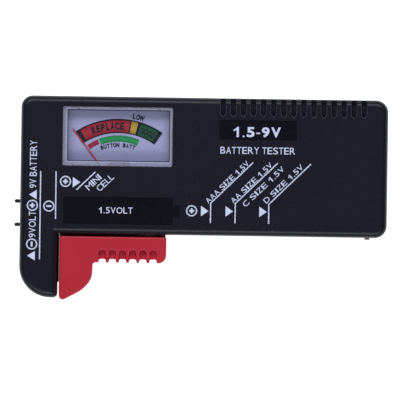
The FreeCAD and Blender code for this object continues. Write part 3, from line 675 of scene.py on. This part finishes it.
BAR_HALF = 0.75
BAR_W = 0.27
bm = bmesh.new()
for x, y in plus_signs:
    cross = [(-BAR_W, -BAR_HALF), (BAR_W, -BAR_HALF), (BAR_W, -BAR_W), (BAR_HALF, -BAR_W),
             (BAR_HALF, BAR_W), (BAR_W, BAR_W), (BAR_W, BAR_HALF), (-BAR_W, BAR_HALF),
             (-BAR_W, BAR_W), (-BAR_HALF, BAR_W), (-BAR_HALF, -BAR_W), (-BAR_W, -BAR_W)]
    prism(bm, [on_face(x + dx, y + dy).xy for dx, dy in cross], FACE_Z, FACE_Z + PRINT_FILM * MM)
for (x, y), (half_x, half_y) in zip(minus_signs, ((BAR_W, BAR_HALF), (BAR_HALF, BAR_W))):
    bar = [(-half_x, -half_y), (half_x, -half_y), (half_x, half_y), (-half_x, half_y)]
    prism(bm, [on_face(x + dx, y + dy).xy for dx, dy in bar], FACE_Z, FACE_Z + PRINT_FILM * MM)
piece_from(bm, "pole_signs", white_ink, "case")

arrows = Recipe("printed_arrows", Length="Float", Half="Float", Film="Float", Turn="Float")
triangle = arrows.node("GeometryNodeMeshCylinder", None, {
    "Vertices": 3, "Radius": 1.0, "Depth": 1.0}, "Mesh")
size = arrows.node("ShaderNodeCombineXYZ", None, {
    "X": arrows.given("Length"), "Y": arrows.given("Half"), "Z": arrows.given("Film")})
turn = arrows.node("ShaderNodeCombineXYZ", None, {"Z": arrows.given("Turn")})
arrows.close(arrows.node("GeometryNodeInstanceOnPoints", None, {
    "Points": arrows.given("Geometry"), "Instance": triangle, "Rotation": turn, "Scale": size}))

# A three-sided cylinder of radius 1 is 1.5 long from base to tip and sqrt(3) across its base.
ARROW_SETS = [
    ("arrows_right", [(54.2, 7.4), (61.6, 7.4), (71.75, 7.4), (15.5, 15.5)], 2.25, 1.58, 0.0),
    ("arrows_left", [(4.7, 11.6), (4.4, -6.8)], 2.3, 1.42, math.pi),
]
for name, bases, length, half, angle in ARROW_SETS:
    third = length / 3 * math.cos(angle)
    middles = [on_face(x + third, y, PRINT_Z) for x, y in bases]
    mesh = arrows.run(name, middles, [], Length=length / 1.5 * MM, Half=2 * half / math.sqrt(3) * MM,
                      Film=PRINT_FILM * MM, Turn=angle, Finish=white_ink.material)
    as_piece(name, mesh, "case")

# ---------------------------------------------------------------- face print: words
# The same pale ink in plain capitals. They name only voltages and common cell sizes.

# Words, middle, width, height and turn in degrees.
READING = 44.5
FACE_WORDS = [
    ("BATTERY TESTER", 71.05, 25.8, 22.5, 2.05, 0),
    ("AAA SIZE 1.5V", 62.0, 16.2, 17.2, 1.6, READING),
    ("AA SIZE 1.5V", 69.3, 16.1, 16.4, 1.6, READING),
    ("C SIZE 1.5V", 72.9, 15.0, 16.4, 1.6, READING),
    ("D SIZE 1.5V", 78.9, 15.9, 15.6, 1.6, READING),
    ("MINI", 21.7, 15.6, 5.4, 1.9, READING),
    ("CELL", 25.2, 15.5, 6.0, 1.9, READING),
    ("9VOLT", 3.5, 2.65, 7.9, 2.1, 90),
    ("9V BATTERY", 3.55, 20.75, 14.3, 2.1, 90),
]
bm = bmesh.new()
for words, x, y, width, height, angle in FACE_WORDS:
    stamp(bm, words, on_face(x, y, PRINT_Z), width, height, PRINT_FILM, angle)
panel_print = panel_floor + (PANEL_FILM + PRINT_FILM / 2) * MM
stamp(bm, "1.5-9V", on_face(70.65, 31.35, panel_print), 14.5, 3.05, PRINT_FILM, weight=0.03)
stamp(bm, "1.5VOLT", on_face(28.5, 7.2, panel_print), 10.3, 1.85, PRINT_FILM)
piece_from(bm, "face_words", white_ink, "case")

# ---------------------------------------------------------------- moulded rims
# A fine bead lies round the lower end of every vent groove in the face and round every finger pocket of
# the sliding jaw. It is coloured paler than the plastic beside it, as a painted highlight for the light
# on their rounded edges.

bead = Recipe("moulded_bead", Count="Int", Pitch="Float", Radius="Float")
bead_path = bead.node("GeometryNodeMeshToCurve", None, {"Mesh": bead.given("Geometry")})
bead_section = bead.node("GeometryNodeCurvePrimitiveCircle", None, {
    "Resolution": 8, "Radius": bead.given("Radius")})
one_bead = bead.node("GeometryNodeCurveToMesh", None, {
    "Curve": bead_path, "Profile Curve": bead_section, "Fill Caps": True})
bead_step = bead.node("ShaderNodeCombineXYZ", None, {"X": bead.given("Pitch")})
bead_row = bead.node("GeometryNodeMeshLine", None, {"Count": bead.given("Count"), "Offset": bead_step})
bead.close(bead.node("GeometryNodeInstanceOnPoints", None, {"Points": bead_row, "Instance": one_bead}))


def bead_row_of(name, path, height, finish, body, slot, **sizes):
    """A row of equal beads along open paths, which are given by the first one's points."""
    points = [on_face(x, y, height) for x, y in path]
    edges = [(i, i + 1) for i in range(len(points) - 1)]
    as_piece(name, bead.run(name, points, edges, Finish=finish.material, **sizes), body)


# Painted highlight: a paler black than the case, for the light on the groove rims.
edge_highlight_black = Finish("case_black_painted_highlight", Specular_IOR_Level=0.4)
edge_highlight_black.set(Base_Color=edge_highlight_black.blend(
    edge_highlight_black.noise(1.2, 2.0), rgb(0.028, 0.028, 0.045), rgb(0.075, 0.075, 0.105)))
edge_highlight_black.set(Roughness=edge_highlight_black.noise(0.6) * 0.1 + 0.35)

# Painted highlight: a paler red than the jaw, for the light on the pocket rims.
edge_highlight_red = Finish("jaw_red_painted_highlight", Specular_IOR_Level=0.15)
edge_highlight_red.set(Base_Color=edge_highlight_red.blend(
    edge_highlight_red.noise(1.2, 2.0), rgb(0.66, 0.030, 0.055), rgb(0.78, 0.070, 0.11)))
edge_highlight_red.set(Roughness=edge_highlight_red.noise(0.6) * 0.1 + 0.33)

VENT_X = 60.5
VENT_HALF = 0.86
VENT_TOP = 39.4
VENT_SHOULDER = 36.76
VENT_FOOT = 35.86
TIP_HALF = 0.3
TIP_RISE = 0.2
left_edge = [(-VENT_HALF, VENT_TOP), (-VENT_HALF, VENT_SHOULDER), (-TIP_HALF, VENT_FOOT + TIP_RISE)]
right_edge = [(-x, y) for x, y in reversed(left_edge)]
vent_path = [(VENT_X + x, y) for x, y in left_edge + [(0.0, VENT_FOOT)] + right_edge]
bead_row_of("vent_beads", vent_path, FACE_Z, edge_highlight_black, "case", "case_black",
            Count=15, Pitch=3.03 * MM, Radius=0.1 * MM)

POCKET_X = 24.65
POCKET_HALF = 1.26
POCKET_MOUTH = -7.3
ARCH_Y = -5.75
ARCH_STEPS = 12
arch = [math.pi * (1 - i / ARCH_STEPS) for i in range(ARCH_STEPS + 1)]
pocket_path = [(POCKET_X - POCKET_HALF, POCKET_MOUTH)]
pocket_path += [(POCKET_X + POCKET_HALF * math.cos(t), ARCH_Y + POCKET_HALF * math.sin(t)) for t in arch]
pocket_path += [(POCKET_X + POCKET_HALF, POCKET_MOUTH)]
bead_row_of("pocket_beads", pocket_path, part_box("slider")[1].z, edge_highlight_red, "slider", "jaw_red",
            Count=6, Pitch=3.06 * MM, Radius=0.13 * MM)

# ---------------------------------------------------------------- floor and light
# A plain white bench and soft boxes low on both long sides, so that the face stays dark
# while the rounded edges show pale bands.

FLOOR_HALF = 1.2
FLOOR_THICK = 0.02
bench = Finish("bench_white", Roughness=0.9, Specular_IOR_Level=0.1, Base_Color=rgb(0.93, 0.93, 0.94))
bench.set(Emission_Color=rgb(1.0, 1.0, 1.0), Emission_Strength=0.8)
bm = bmesh.new()
prism(bm, [(-FLOOR_HALF, -FLOOR_HALF), (FLOOR_HALF, -FLOOR_HALF), (FLOOR_HALF, FLOOR_HALF),
           (-FLOOR_HALF, FLOOR_HALF)], -FLOOR_THICK, 0.0)
floor_mesh = bpy.data.meshes.new("bench")
bm.to_mesh(floor_mesh)
bm.free()
floor_mesh.materials.append(bench.material)
floor = bpy.data.objects.new("bench", floor_mesh)
bpy.context.collection.objects.link(floor)


def soft_box(name, place, size, watts, colour):
    """Area light that faces the middle of the tester."""
    lamp = bpy.data.lights.new(name, "AREA")
    lamp.shape = "RECTANGLE"
    lamp.size = size[0]
    lamp.size_y = size[1]
    lamp.energy = watts
    lamp.color = colour
    holder = bpy.data.objects.new(name, lamp)
    holder.location = place
    holder.rotation_euler = (-Vector(place)).to_track_quat("-Z", "Y").to_euler()
    bpy.context.collection.objects.link(holder)


BOX_SIZE = (1.2, 0.35)
soft_box("far_box", (-0.1, 0.66, 0.92), BOX_SIZE, 9.2, (0.80, 0.86, 1.0))
soft_box("near_box", (0.0, -0.68, 0.90), BOX_SIZE, 7.2, (0.84, 0.89, 1.0))

world = bpy.data.worlds.new("studio")
world.use_nodes = True
background = world.node_tree.nodes["Background"]
background.inputs["Color"].default_value = rgb(0.85, 0.9, 1.0)
background.inputs["Strength"].default_value = 0.10
bpy.context.scene.world = world
bpy.context.scene.view_settings.view_transform = "Standard"
